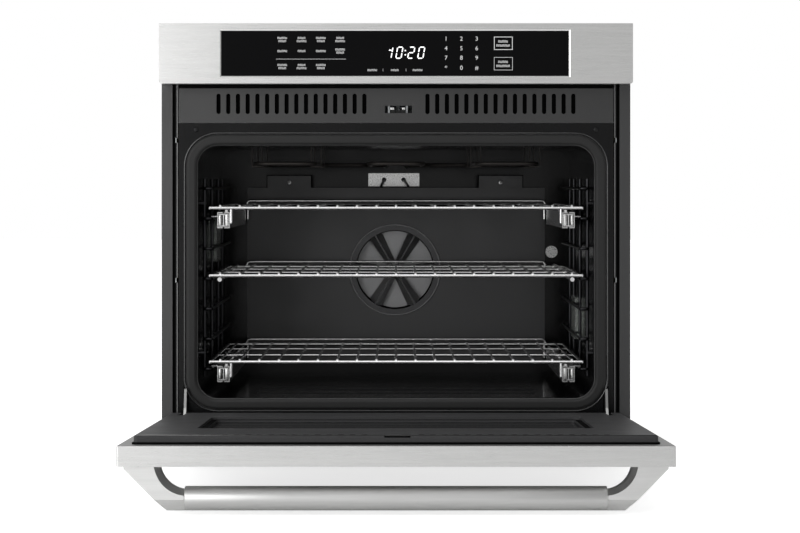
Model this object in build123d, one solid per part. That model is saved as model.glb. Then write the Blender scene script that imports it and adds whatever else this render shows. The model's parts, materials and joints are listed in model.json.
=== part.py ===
from build123d import *
import math
import os

# 30-inch built-in single wall oven, door lowered, racks in. Millimetres.
# +Z up, the front looks along -Y, +X is to the viewer's right.
# The origin is the centre of the base pan's underside.

# overall
FACE_W = 758.8          # width across the stainless faces and side trims
BODY_W = 718.0          # chassis width, inside a 724 mm cabinet opening
BODY_TOP = 690.0
PANEL_TOP = 710.5
FRONT = -280.0          # front plane of the sheet-metal frame
REAR = 280.0
PANEL_FRONT = -322.0    # front plane of the control panel
SHEET = 1.5

# control panel
PANEL_LOW = 614.0
GLASS_X = (-282.0, 279.0)
GLASS_Z = (624.0, 700.5)

# front frame, mouth and cavity
FRAME_LOW = 44.0
SEAM = 551.5
FASCIA_TOP = 608.0
MOUTH_HALF = 341.0
MOUTH_Z = (87.0, 534.0)
MOUTH_R = 52.0
CAVITY_HALF = 321.0
CAVITY_Z = (106.0, 515.0)
CAVITY_R = 33.0
CAVITY_BACK = 218.0
BAFFLE_FRONT = 165.0
LATCH_Z = 574.0
LAMP_Y = -20.0
PROBE_X = 287.0         # meat-probe socket in the back wall
PROBE_Z = 328.0
SENSOR_X = (-22.0, 14.0)
SENSOR_Z = 461.0
TRIM_HOLE_X = 371.7
TRIM_HOLE_Z = 30.0
TRIM_HOLE_R = 2.6

# heating elements
BROIL_Z = 487.0
BAKE_Z = 92.0
LEG_X = 20.0            # half the spacing of element legs through the back wall
RING_LEG_Z = 430.0
SHEATH_R = 3.4

# racks and ladders
RUNG_Z0 = 149.4
RUNG_PITCH = 49.4
RUNG_COUNT = 7
RUNG_R = 2.4
RACK_FRONT = -250.0
RACK_REAR = 150.0
RACK_HALF = 303.0
WIRE_PITCH = 31.9
FRAME_WIRE_R = 2.9
GRID_WIRE_R = 1.8
GRID_SIDE_WIRES = 9     # front-to-back wires on each side of the middle one
HOOK_X = 269.3
HOOK_DROP = 24.0
RACK_Z = {"rack_upper": 413.8, "rack_middle": 303.2, "rack_lower": 162.3}
SLIDE_MID_Z = {"upper": 394.0, "lower": 142.5}
SLIDE_FRONT = -247.0
SLIDE_REAR = 140.0
SLIDE_H = 26.0

# door, drawn closed and then lowered about the hinge line
DOOR_Z = (52.0, 610.0)
DOOR_FACE = -324.0
RIM_BACK = -296.0
LINER_FACE = -284.0
LINER_HALF = 360.0
LINER_Z = (60.0, 575.0)
HINGE_Y = -311.0
HINGE_Z = 59.0
OPEN_DEG = 87.5
HINGE_X = 340.0
PIN_R = 3.0
WINDOW_X = 277.0
WINDOW_Z = (187.0, 420.0)
HANDLE_R = 16.7
HANDLE_HALF = 288.5
HANDLE_GAP = 28.4
HANDLE_Z = 578.0
HANDLE_SCREW_X = (331.0, 352.0)
HANDLE_SCREW_R = 2.9
SCOOP_WIDE = 6.0        # extra reach of the bracket scoop at its upper edge
SCOOP_DEEP = 12.0

# fan behind the baffle
FAN_X = -2.0
FAN_Z = 297.0
FAN_R = 74.0
BAFFLE_TABS = (-195.0, 191.0)
RING_R = 83.0
SHAFT_R = 4.0
SHAFT_FIT = 0.06        # running clearance of a shaft or pin in its bore

# electrics over the cavity
SHELF_TOP = 553.5
BLOWER_X = -140.0
BLOWER_Y = 60.0
BLOWER_R = 92.0
PANEL_SCREW_R = 2.1


def box(x, y, z):
    """Box from three (low, high) pairs."""
    size = Box(x[1] - x[0], y[1] - y[0], z[1] - z[0])
    return Pos((x[0] + x[1]) / 2, (y[0] + y[1]) / 2, (z[0] + z[1]) / 2) * size


def rod(start, end, radius):
    """Round bar between two points."""
    a = Vector(*start)
    b = Vector(*end)
    place = Plane(origin=a, z_dir=b - a)
    return place * Cylinder(radius, (b - a).length, align=(Align.CENTER, Align.CENTER, Align.MIN))


def disc(x, z, radius, y):
    """Round bar along Y between two depths."""
    return rod((x, y[0], z), (x, y[1], z), radius)


def wire(points, bend, radius):
    """Bent round wire along a filleted line."""
    path = FilletPolyline(*points, radius=bend)
    profile = Plane(origin=path @ 0, z_dir=path % 0) * Circle(radius)
    return sweep(profile, path=path)


def rounded(half, z, radius, y):
    """Rounded rectangle in the X-Z plane, drawn out between two depths."""
    plane = Plane(origin=(0, y[0], (z[0] + z[1]) / 2), x_dir=(1, 0, 0), z_dir=(0, 1, 0))
    face = plane * RectangleRounded(2 * half, z[1] - z[0], radius)
    return extrude(face, y[1] - y[0])


def prism(points, plane, length):
    """Straight prism on an outline, drawn out both ways from its plane."""
    face = make_face(Polyline(*points, close=True))
    return extrude(plane * face, length / 2, both=True)


def both_sides(shape):
    """A left and a right copy kept as separate solids."""
    return group([shape, mirror(shape, Plane.YZ)])


def group(shapes):
    """Several separate solids in one node."""
    return Compound([solid for shape in shapes for solid in shape.solids()])


def lowered(shape):
    """Turn a door piece from its closed place to its open one."""
    line = Axis((0, HINGE_Y, HINGE_Z), (1, 0, 0))
    return shape.rotate(line, OPEN_DEG)


# ---- chassis shell -------------------------------------------------------

def base_pan():
    half = BODY_W / 2
    pan = box((-half, half), (FRONT + SHEET, REAR), (0, SHEET))
    for side in (-1, 1):
        edge = sorted((side * half, side * (half - SHEET)))
        pan += box(edge, (FRONT + SHEET, REAR), (0, 24))
    pan += box((-half, half), (REAR - SHEET, REAR), (0, 24))
    return pan


def side_panel(side):
    outer = side * (BODY_W / 2 - SHEET)
    inner = side * (BODY_W / 2 - 2 * SHEET)
    sheet = box(sorted((outer, inner)), (FRONT, REAR - SHEET), (SHEET, BODY_TOP - SHEET))
    lip_edge = side * 353.5
    sheet += box(sorted((outer, lip_edge)), (FRONT, FRONT + SHEET), (FRAME_LOW, BODY_TOP - SHEET))
    for z in (297.5, 524.0):
        sheet -= box(sorted((outer, lip_edge)), (FRONT - 1, FRONT + SHEET + 1), (z - 4, z + 4))
    return sheet


def top_cover():
    half = BODY_W / 2
    cover = box((-half, half), (FRONT, REAR), (BODY_TOP - SHEET, BODY_TOP))
    for row in range(3):
        for column in range(12):
            x = -165 + 30 * column
            y = 60 + 45 * row
            cover -= box((x - 4, x + 4), (y - 15, y + 15), (BODY_TOP - 3, BODY_TOP + 1))
    return cover


def rear_cover():
    half = BODY_W / 2 - 3 * SHEET
    cover = box((-half, half), (REAR - SHEET, REAR), (26, BODY_TOP - SHEET))
    for row in range(9):
        z = 560 + 12 * row
        cover -= box((-220, -60), (REAR - 3, REAR + 1), (z - 2.5, z + 2.5))
    cover -= box((120.3, 219.7), (REAR - 3, REAR + 1), (580.3, 649.7))
    for x, z in rear_screw_places():
        cover -= disc(x, z, PANEL_SCREW_R, (REAR - 3, REAR + 1))
    return cover


def rear_screw_places():
    return [(x, z) for x in (-340, 0, 340) for z in (40, 670)]


def side_trim():
    """L-shaped cabinet trim: a face flange and a web beside the chassis."""
    z = (4, FASCIA_TOP + 62)
    web = 362.0
    trim = box((web, FACE_W / 2), (FRONT - SHEET, FRONT), z)
    trim += box((web, web + 2), (FRONT - SHEET, FRONT + 30), z)
    for height in (60, 340, 640):
        trim += box((BODY_W / 2 - SHEET, web), (FRONT + 20, FRONT + 30), (height - 15, height + 15))
    return trim - disc(TRIM_HOLE_X, TRIM_HOLE_Z, TRIM_HOLE_R, (FRONT - 3, FRONT + 1))


def bottom_trim():
    strip = box((-350, 350), (FRONT - 16, FRONT - 16 + SHEET), (2, 41))
    strip += box((-350, 350), (FRONT - 16, FRONT + SHEET), (2, 2 + SHEET))
    for column in range(22):
        x = -231 + 22 * column
        strip -= box((x - 8, x + 8), (FRONT - 18, FRONT - 13), (17, 23))
    return strip


def front_frame():
    frame = box((-352, 352), (FRONT, FRONT + SHEET), (FRAME_LOW, SEAM))
    frame -= rounded(MOUTH_HALF, MOUTH_Z, MOUTH_R, (FRONT - 1, FRONT + SHEET + 1))
    frame += rounded(MOUTH_HALF + SHEET, (MOUTH_Z[0] - SHEET, MOUTH_Z[1] + SHEET), MOUTH_R + SHEET,
                     (FRONT, FRONT + 8)) - rounded(MOUTH_HALF, MOUTH_Z, MOUTH_R, (FRONT - 1, FRONT + 9))
    for side in (-1, 1):
        slot = sorted((side * (HINGE_X - 4), side * (HINGE_X + 4)))
        frame -= box(slot, (FRONT - 1, FRONT + 9), (62, 128))
    for x, z in frame_screw_places():
        frame -= disc(x, z, PANEL_SCREW_R, (FRONT - 1, FRONT + 3))
    return frame


def frame_screw_places():
    return [(-324, 541), (324, 541), (-250, 60), (250, 60)]


def screw(x, z, y, head):
    """Pan-head screw driven in from the front (head towards -Y) or the back."""
    shank = disc(x, z, 2.0, sorted((y, y - head * 10)))
    cap = disc(x, z, 4.0, sorted((y, y + head * 2.2)))
    return shank + cap


def vent_fascia():
    fascia = box((-352, 352), (FRONT, FRONT + SHEET), (SEAM + 0.6, FASCIA_TOP))
    for start in (-287.5, 51.0):
        for column in range(16):
            x = start + 15.75 * column
            slot = Plane(origin=(x, FRONT, 583), x_dir=(1, 0, 0), z_dir=(0, 1, 0)) * SlotOverall(33, 6.9, 90)
            fascia -= extrude(slot, 4, both=True)
    fascia -= box((-18, 26), (FRONT - 1, FRONT + 3), (LATCH_Z - 6, LATCH_Z + 6))
    return fascia


# ---- cavity --------------------------------------------------------------

def oven_cavity():
    wall = 1.3
    outer_z = (CAVITY_Z[0] - wall, CAVITY_Z[1] + wall)
    shell = rounded(CAVITY_HALF + wall, outer_z, CAVITY_R + wall, (FRONT + 10, CAVITY_BACK + wall))
    shell += rounded(345, (83, 538), 56, (FRONT + 9, FRONT + 9 + wall))
    shell -= rounded(CAVITY_HALF, CAVITY_Z, CAVITY_R, (FRONT + 8, CAVITY_BACK))
    # fan shaft, element, probe and lamp openings
    shell -= disc(FAN_X, FAN_Z, 12, (CAVITY_BACK - 1, CAVITY_BACK + 5))
    shell -= disc(PROBE_X, PROBE_Z, 7.1, (CAVITY_BACK - 1, CAVITY_BACK + 5))
    for x in (-LEG_X, LEG_X):
        for z in (RING_LEG_Z, BROIL_Z):
            shell -= disc(x, z, 5, (CAVITY_BACK - 1, CAVITY_BACK + 5))
    for side in (-1, 1):
        notch = sorted((side * (HINGE_X - 11), side * (HINGE_X + 11)))
        shell -= box(notch, (FRONT + 8, FRONT + 11), (60, 129))
    for side, z in lamp_places():
        wall_x = sorted((side * (CAVITY_HALF - 1), side * (CAVITY_HALF + 5)))
        shell -= box(wall_x, (LAMP_Y - 36, LAMP_Y + 36), (z - 30, z + 30))
    # shallow pressed ribs across the floor
    for row in range(3):
        y = -190 + 60 * row
        shell += box((-230, 230), (y - 8, y + 8), (CAVITY_Z[0] - 0.5, CAVITY_Z[0] + 1.6))
    return shell


def lamp_places():
    """Side and height of the two cavity lamps."""
    return [(1, 222.0), (-1, 355.0)]


def lamp_lens(side, z):
    face = side * (CAVITY_HALF - 13)
    back = side * (CAVITY_HALF - 0.2)
    body = box(sorted((face, back)), (LAMP_Y - 40, LAMP_Y + 40), (z - 36, z + 36))
    edges = body.edges().filter_by(Axis.X)
    body = fillet(edges, 6)
    hollow = box(sorted((side * (CAVITY_HALF - 9), side * (CAVITY_HALF + 1))), (LAMP_Y - 34, LAMP_Y + 34),
                 (z - 29, z + 29))
    return body - hollow


def lamp_housing(side, z):
    inner = side * (CAVITY_HALF + 1.5)
    outer = side * (CAVITY_HALF + 27)
    cup = box(sorted((inner, outer)), (LAMP_Y - 34, LAMP_Y + 34), (z - 28, z + 28))
    hollow = box(sorted((inner - side, outer - side * 1.5)), (LAMP_Y - 32, LAMP_Y + 32), (z - 26, z + 26))
    return cup - hollow


def lamp_bulb(side, z):
    x = side * (CAVITY_HALF + 12)
    socket = rod((x, LAMP_Y - 31.5, z), (x, LAMP_Y - 14, z), 7)
    return socket + rod((x, LAMP_Y - 15, z), (x, LAMP_Y + 22, z), 5.5)


def door_gasket():
    outer = rounded(MOUTH_HALF - 0.3, (MOUTH_Z[0] + 0.3, MOUTH_Z[1] - 0.3), MOUTH_R - 0.3,
                    (FRONT - 3.4, FRONT + 8.6))
    inner = rounded(CAVITY_HALF + 1, (CAVITY_Z[0] - 1, CAVITY_Z[1] + 1), CAVITY_R + 1,
                    (FRONT - 5, FRONT + 10))
    ring = outer - inner
    front = ring.faces().sort_by(Axis.Y)[0]
    return fillet(front.edges(), 5.5)


def insulation_wrap():
    half = BODY_W / 2 - 3 * SHEET - 1
    block = box((-half, half), (FRONT + 14, REAR - 24), (60, 548))
    block -= rounded(CAVITY_HALF + 1.5, (CAVITY_Z[0] - 1.5, CAVITY_Z[1] + 1.5), CAVITY_R + 1.5,
                     (FRONT, CAVITY_BACK + 1.5))
    block -= disc(FAN_X, FAN_Z, 44, (CAVITY_BACK, REAR))
    block -= disc(PROBE_X, PROBE_Z, 9, (CAVITY_BACK, REAR))
    for x in (-LEG_X, LEG_X):
        for z in (RING_LEG_Z, BROIL_Z):
            block -= disc(x, z, 6, (CAVITY_BACK, REAR))
    for side, z in lamp_places():
        deep = sorted((side * (CAVITY_HALF - 1), side * (CAVITY_HALF + 28)))
        block -= box(deep, (LAMP_Y - 36, LAMP_Y + 36), (z - 30, z + 30))
    for side in (-1, 1):
        pocket = sorted((side * (HINGE_X - 10), side * (HINGE_X + 20)))
        block -= box(pocket, (FRONT + 10, FRONT + 90), (50, 134))
    block -= box((-200, 200), (-190, 190), (86, 98))
    return block


def bake_element():
    """Sheathed loop under the cavity floor."""
    line = [(-150, 185), (-150, -160), (-50, -160), (-50, 130), (50, 130), (50, -160), (150, -160), (150, 185)]
    return wire([(x, y, BAKE_Z) for x, y in line], 30, SHEATH_R)


def broil_element():
    left = [(-LEG_X, CAVITY_BACK + 18), (-LEG_X, 140), (-235, 140), (-235, -190), (-135, -190),
            (-135, 90), (-45, 90), (-45, -190)]
    right = [(-x, y) for x, y in reversed(left)]
    return wire([(x, y, BROIL_Z) for x, y in left + right], 24, SHEATH_R)


def element_brackets():
    """Hanger straps that carry the broil element from the roof."""
    parts = []
    for x in (-235, -135, 135, 235):
        for y in (-120, 40):
            strap = box((x - 9, x + 9), (y - 5, y + 5), (BROIL_Z - 5, BROIL_Z - 3.7))
            strap += box((x + 7.7, x + 9), (y - 5, y + 5), (BROIL_Z - 5, CAVITY_Z[1]))
            strap += box((x - 9, x - 7.7), (y - 5, y + 5), (BROIL_Z - 5, CAVITY_Z[1]))
            parts.append(strap)
    return group(parts)


def convection_element():
    """Ring element around the fan wheel, with two legs through the back wall."""
    radius = 88.0
    wire_r = 3.2
    y = 196.0
    centre = Vector(FAN_X, y, FAN_Z)
    start = math.radians(77)
    left = (FAN_X - radius * math.cos(start), y, FAN_Z + radius * math.sin(start))
    right = (FAN_X + radius * math.cos(start), y, FAN_Z + radius * math.sin(start))
    low = (centre.X, y, centre.Z - radius)
    ring = ThreePointArc(left, low, right)
    profile = Plane(origin=ring @ 0, z_dir=ring % 0) * Circle(wire_r)
    loop = sweep(profile, path=ring)
    for x, end in ((-LEG_X, left), (LEG_X, right)):
        loop += rod(end, (x, y, RING_LEG_Z), wire_r) + Pos(*end) * Sphere(wire_r)
        loop += rod((x, y, RING_LEG_Z), (x, REAR - 35, RING_LEG_Z), wire_r)
        loop += Pos(x, y, RING_LEG_Z) * Sphere(wire_r)
    return loop


def fan_baffle():
    """Cover over the fan with an intake opening and side outlet returns."""
    sheet = box((-271, 271), (BAFFLE_FRONT, BAFFLE_FRONT + SHEET), (130, 446))
    sheet += box((-271, 271), (BAFFLE_FRONT, CAVITY_BACK), (446 - SHEET, 446))
    sheet += box((-271, 271), (BAFFLE_FRONT, CAVITY_BACK), (130, 130 + SHEET))
    sheet -= disc(FAN_X, FAN_Z, 78, (BAFFLE_FRONT - 1, BAFFLE_FRONT + 3))
    for x in BAFFLE_TABS:
        sheet += box((x - 30, x + 30), (BAFFLE_FRONT + 4, BAFFLE_FRONT + 4 + SHEET), (445, 466))
        sheet += box((x - 20, x + 20), (BAFFLE_FRONT + 5, CAVITY_BACK), (464.5, 466))
        sheet -= disc(x, 456, PANEL_SCREW_R, (BAFFLE_FRONT, BAFFLE_FRONT + 8))
    return sheet


def fan_guard():
    """Ring with a crossbar guard in the baffle's intake opening."""
    y = (BAFFLE_FRONT - 3.2, BAFFLE_FRONT)
    ring = disc(FAN_X, FAN_Z, RING_R, y) - disc(FAN_X, FAN_Z, RING_R - 11, (y[0] - 1, y[1] + 1))
    for turn in (0, 60, 120):
        bar = Pos(FAN_X, y[0] + 1.2, FAN_Z) * Rot(0, turn, 0) * Box(2 * RING_R - 14, 2.4, 2.4)
        ring += bar
    return ring


def fan_wheel():
    """Six pitched blades that widen outwards on a back plate, with the hub and motor shaft."""
    y0 = BAFFLE_FRONT + 6
    pitch = 34
    wheel = disc(FAN_X, FAN_Z, FAN_R - 4, (y0 + 20, y0 + 21.5))
    wheel += disc(FAN_X, FAN_Z, 14, (y0 + 2, y0 + 30))
    outline = [(8, -8), (FAN_R - 6, -15), (FAN_R - 2, -9), (FAN_R - 2, 9), (FAN_R - 6, 15), (8, 8)]
    blade = prism(outline, Plane(origin=(0, 0, 0), x_dir=(1, 0, 0), z_dir=(0, 1, 0)), 1.6)
    for turn in range(6):
        wheel += Pos(FAN_X, y0 + 11.5, FAN_Z) * Rot(0, 60 * turn, 0) * Rot(pitch, 0, 0) * blade
    wheel += disc(FAN_X, FAN_Z, SHAFT_R, (y0 + 2, CAVITY_BACK + 22))
    return wheel


def convection_motor():
    can = disc(FAN_X, FAN_Z, 36, (CAVITY_BACK + 16, REAR - 6))
    can += disc(FAN_X, FAN_Z, 42, (CAVITY_BACK + 12, CAVITY_BACK + 16))
    can -= disc(FAN_X, FAN_Z, SHAFT_R + SHAFT_FIT, (CAVITY_BACK + 10, CAVITY_BACK + 24))
    for turn in range(3):
        angle = math.radians(90 + 120 * turn)
        x = FAN_X + 34 * math.cos(angle)
        z = FAN_Z + 34 * math.sin(angle)
        can += disc(x, z, 4, (CAVITY_BACK + 1.3, CAVITY_BACK + 14))
    return can


def sensor_plate():
    """Bright plate on the back wall that carries the thermostat rods."""
    plate = box((-51, 43), (CAVITY_BACK - 6, CAVITY_BACK - 5), (449, 473))
    plate += box((-51, 43), (CAVITY_BACK - 6, CAVITY_BACK), (472, 473))
    for x in SENSOR_X:
        plate -= disc(x, SENSOR_Z, 4.2, (CAVITY_BACK - 8, CAVITY_BACK + 1))
    return plate


def sensor_rod(x, lean):
    rear = (x, CAVITY_BACK - 0.5, SENSOR_Z)
    tip = (x + lean, BAFFLE_FRONT - 20, SENSOR_Z - 12)
    return rod(rear, tip, 2.6) + Pos(*tip) * Sphere(2.6)


def probe_jack():
    """Socket for a meat probe, in the back wall."""
    jack = disc(PROBE_X, PROBE_Z, 11, (CAVITY_BACK - 5, CAVITY_BACK))
    jack += disc(PROBE_X, PROBE_Z, 6.9, (CAVITY_BACK - 0.5, CAVITY_BACK + 30))
    jack -= disc(PROBE_X, PROBE_Z, 3.2, (CAVITY_BACK - 6, CAVITY_BACK + 20))
    return jack


def rack_ladder():
    """Right-hand wire side support: uprights held off the wall, with seven U-shaped rungs."""
    wall = CAVITY_HALF - 6
    inner = RACK_HALF - 1
    front = -236.0
    rear = 148.0
    top = RUNG_Z0 + RUNG_PITCH * (RUNG_COUNT - 1)
    uprights = (front + 12, -80.0, 48.0, rear - 12)
    ladder = rod((wall, uprights[0], RUNG_Z0 - 12), (wall, uprights[0], top + 16), 2.8)
    for y in uprights[1:]:
        ladder += rod((wall, y, RUNG_Z0 - 12), (wall, y, top + 16), 2.8)
    for level in range(RUNG_COUNT):
        z = RUNG_Z0 + RUNG_PITCH * level
        rung = [(wall, uprights[0], z), (wall, front, z), (inner, front, z), (inner, rear, z),
                (wall, rear, z), (wall, uprights[-1], z)]
        ladder += wire(rung, 5, RUNG_R)
        for y in uprights[1:-1]:
            ladder += rod((wall, y, z), (inner, y, z), 2.0)
    for y in (uprights[0], uprights[-1]):
        for z in (RUNG_Z0 + 25, RUNG_Z0 + 5.5 * RUNG_PITCH):
            ladder += rod((wall, y, z), (CAVITY_HALF, y, z), 4)
    return ladder


# ---- racks and slides ----------------------------------------------------

def rack_grid(z):
    """Perimeter frame, cross bars and front-to-back wires of one rack."""
    half = RACK_HALF
    y0, y1 = RACK_FRONT, RACK_REAR
    grid = rod((-half - 1, y0, z), (half + 1, y0, z), FRAME_WIRE_R)
    grid += rod((-half, y1, z), (half, y1, z), FRAME_WIRE_R)
    for side in (-1, 1):
        grid += rod((side * half, y0, z), (side * half, y1, z), FRAME_WIRE_R - 0.2)
        grid += Pos(side * half, y1, z) * Sphere(FRAME_WIRE_R)
    for y in (y0 + 16, y0 + 150, y0 + 290):
        grid += rod((-half, y, z - 0.4), (half, y, z - 0.4), 2.2)
    for column in range(-GRID_SIDE_WIRES, GRID_SIDE_WIRES + 1):
        x = WIRE_PITCH * column
        grid += rod((x, y0 - 1, z + 3.4), (x, y1 + 1, z + 3.4), GRID_WIRE_R)
    # raised stop along the back
    stop = [(-271, y1, z), (-271, y1, z + 9), (271, y1, z + 9), (271, y1, z)]
    grid += wire(stop, 7, 2.2)
    return grid


def rack_middle():
    z = RACK_Z["rack_middle"]
    rack = rack_grid(z)
    for side in (-1, 1):
        x = side * 288
        rack += rod((x, RACK_FRONT - 2, z - 6.0), (x, RACK_REAR, z - 6.0), 3.5)
    return rack


def rack_on_slides(name, level):
    """Rack with side runners on its slides and hooks that hold it to them."""
    z = RACK_Z[name]
    top = SLIDE_MID_Z[level] + SLIDE_H / 2
    runner_r = (z - FRAME_WIRE_R + 0.5 - top) / 2
    rack = rack_grid(z)
    for side in (-1, 1):
        x = side * 277
        rack += rod((x, RACK_FRONT, top + runner_r), (x, RACK_REAR - 12, top + runner_r), runner_r)
        for y in (RACK_FRONT, RACK_REAR):
            rack += rod((side * HOOK_X, y, z), (side * HOOK_X, y, z - HOOK_DROP), 2.3)
            rack += Pos(side * HOOK_X, y, z - HOOK_DROP) * Sphere(2.3)
    return rack


def channel(x0, x1, z, height, wall, y):
    """C-section rail; x0 is the web side and x1 the open side."""
    body = box(sorted((x0, x1)), y, (z - height / 2, z + height / 2))
    step = wall if x1 > x0 else -wall
    hollow = box(sorted((x0 + step, x1 + step)), (y[0] - 1, y[1] + 1),
                 (z - height / 2 + wall, z + height / 2 - wall))
    return body - hollow


def slide_outer(side, z):
    rail = channel(side * 292, side * 283.4, z, SLIDE_H, 1.4, (SLIDE_FRONT, SLIDE_REAR))
    rung = RUNG_Z0 + RUNG_PITCH * round((z - RUNG_Z0) / RUNG_PITCH)
    for y in (-200, 90):
        low = rung + RUNG_R
        rail += box(sorted((side * 291, side * 305)), (y - 9, y + 9), (low, low + 1.5))
    return rail


def slide_middle(side, z):
    y = (SLIDE_FRONT, SLIDE_REAR)
    web = box(sorted((side * 281, side * 283)), y, (z - 10, z + 10))
    for edge in (z - 10.5, z + 8.5):
        web += box(sorted((side * 274.2, side * 289.8)), y, (edge, edge + 2))
    return web


def slide_inner(side, z):
    return channel(side * 272, side * 280.6, z, SLIDE_H, 1.4, (SLIDE_FRONT, SLIDE_REAR))


# ---- control panel and electrics -----------------------------------------

def control_panel():
    """Stainless shell with rounded lower corners and a window for the glass."""
    half = FACE_W / 2
    shell = box((-half, half), (PANEL_FRONT, FRONT - 2), (PANEL_LOW, PANEL_TOP))
    low_edges = shell.edges().filter_by(Axis.Y).sort_by(Axis.Z)[:2]
    shell = fillet(low_edges, 4)
    shell -= box((-half + 2, half - 2), (PANEL_FRONT + 2, FRONT), (PANEL_LOW + 2, PANEL_TOP - 2))
    shell -= box(GLASS_X, (PANEL_FRONT - 1, PANEL_FRONT + 3), GLASS_Z)
    # rear returns that meet the side trims
    for side in (-1, 1):
        tab = sorted((side * (half - 1.5), side * 365.0))
        shell += box(tab, (FRONT - 4, FRONT - SHEET), (PANEL_LOW + 20, PANEL_LOW + 52))
    return shell


def control_glass():
    z = (GLASS_Z[0] - 4, GLASS_Z[1] + 4)
    x = (GLASS_X[0] - 8, GLASS_X[1] + 8)
    pane = box(x, (PANEL_FRONT + 2, PANEL_FRONT + 6), z)
    raised = box((GLASS_X[0] + 0.6, GLASS_X[1] - 0.6), (PANEL_FRONT + 0.6, PANEL_FRONT + 3),
                 (GLASS_Z[0] + 0.6, GLASS_Z[1] - 0.6))
    return pane + raised


def control_board():
    board = box((-150, 150), (PANEL_FRONT + 12, PANEL_FRONT + 13.6), (626, 698))
    for x in (-120, -70, 60, 110):
        board += box((x - 10, x + 10), (PANEL_FRONT + 13.6, PANEL_FRONT + 20), (655, 675))
    for x in (-140, 140):
        for z in (632, 692):
            board += disc(x, z, 2.5, (PANEL_FRONT + 6, PANEL_FRONT + 12.5))
    return board


def clock_display():
    return box((-38, 60), (PANEL_FRONT + 6, PANEL_FRONT + 11.9), (648, 690))


def air_divider():
    """Shelf between the hot cavity and the cooled electrics above it."""
    half = BODY_W / 2 - 3 * SHEET - 0.5
    shelf = box((-half, half), (FRONT + 6, REAR - 2), (SHELF_TOP - SHEET, SHELF_TOP))
    return shelf


def relay_board():
    board = box((90, 230), (30, 200), (566, 567.6))
    for x in (110, 145, 180):
        for y in (60, 100):
            board += box((x - 10, x + 10), (y - 12, y + 12), (567.6, 584))
    board += box((90, 230), (170, 182), (567.6, 578))
    for x in (100, 220):
        for y in (36, 194):
            board += rod((x, y, SHELF_TOP), (x, y, 566.2), 3)
    return board


def blower_housing():
    """Scroll of the cooling fan, with its outlet facing the front."""
    top = 640
    outlet = (BLOWER_X - BLOWER_R, BLOWER_X + 60)
    inside = (outlet[0] + SHEET, outlet[1] - SHEET)
    body = upright(SHELF_TOP, top, BLOWER_R)
    body += box(outlet, (-90, BLOWER_Y), (SHELF_TOP, top))
    body -= upright(SHELF_TOP + SHEET, top - SHEET, BLOWER_R - SHEET)
    body -= box(inside, (-92, BLOWER_Y), (SHELF_TOP + SHEET, top - SHEET))
    return body - upright(top - 4, top + 2, 62)


def upright(low, high, radius):
    """Round bar on the blower's axis between two heights."""
    return rod((BLOWER_X, BLOWER_Y, low), (BLOWER_X, BLOWER_Y, high), radius)


def blower_motor():
    can = upright(640, 668, 30)
    can += box((BLOWER_X - 90, BLOWER_X + 90), (BLOWER_Y - 8, BLOWER_Y + 8), (640, 642))
    return can - upright(630, 655, SHAFT_R + SHAFT_FIT)


def blower_wheel():
    wheel = upright(562, 563.5, 72)
    wheel += upright(563, 578, 10)
    wheel += upright(570, 653, SHAFT_R)
    for blade in range(16):
        vane = Pos(BLOWER_X, BLOWER_Y, 592) * Rot(0, 0, 22.5 * blade) * Pos(66, 0, 0) * Rot(0, 0, 35)
        wheel += vane * Box(12, 1.6, 58)
    return wheel + (upright(619, 621, 72) - upright(618, 622, 59))


def latch_bracket():
    """Carrier of the door lock behind the fascia, with its drive motor."""
    floor = LATCH_Z - 6
    carrier = box((-28, 36), (FRONT + 4, FRONT + 84), (floor - SHEET, floor))
    carrier += box((-28, -26.5), (FRONT + 4, FRONT + 84), (SHELF_TOP, floor))
    carrier += box((34.5, 36), (FRONT + 4, FRONT + 84), (SHELF_TOP, floor))
    for x in (-11.5, 17.5):
        carrier += box((x - 1.5, x + 1.5), (FRONT + 6, FRONT + 50), (floor - 0.5, floor + 16))
    carrier += rod((3, FRONT + 68, floor - 0.5), (3, FRONT + 68, floor + 28), 14)
    return carrier


def latch_bolt():
    """Forked bolt that reaches out of the fascia into the closed door."""
    floor = LATCH_Z - 5.7
    bolt = box((-9, 15), (FRONT + 4, FRONT + 46), (floor, floor + 4))
    for x in (-9, 8):
        bolt += box((x, x + 7), (FRONT - 1.2, FRONT + 6), (floor, floor + 9))
    return bolt


def hinge_receiver():
    x = HINGE_X
    cheek = box((x - 9, x + 9), (FRONT + 9.5, FRONT + 80), (64, 126))
    cheek -= box((x - 7, x + 7), (FRONT + 8, FRONT + 78), (66, 124))
    cheek += rod((x - 8, FRONT + 40, 112), (x + 8, FRONT + 40, 112), 3.5)
    cheek += box((x - 9, x + 9), (FRONT + 9.5, FRONT + 11), (54, 64))
    return cheek


def hinge_arm():
    """Fixed claw arm: a bright steel plate from the receiver to the door pivot."""
    outline = [(FRONT + 52, 110), (FRONT + 52, 96), (FRONT - 4, 76), (HINGE_Y + 7, HINGE_Z - 6),
               (HINGE_Y - 5, HINGE_Z - 6), (HINGE_Y - 7, HINGE_Z + 4), (FRONT - 18, 92), (FRONT - 10, 122),
               (FRONT + 10, 122), (FRONT + 33, 108)]
    x = HINGE_X
    plate = prism(outline, Plane(origin=(x, 0, 0), x_dir=(0, 1, 0), z_dir=(1, 0, 0)), 4)
    plate += rod((x - 2, HINGE_Y, HINGE_Z), (x + 2, HINGE_Y, HINGE_Z), 8)
    plate -= rod((x - 3, HINGE_Y, HINGE_Z), (x + 3, HINGE_Y, HINGE_Z), PIN_R + SHAFT_FIT)
    plate -= rod((x - 3, FRONT + 40, 112), (x + 3, FRONT + 40, 112), 3.5)
    return plate


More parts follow.
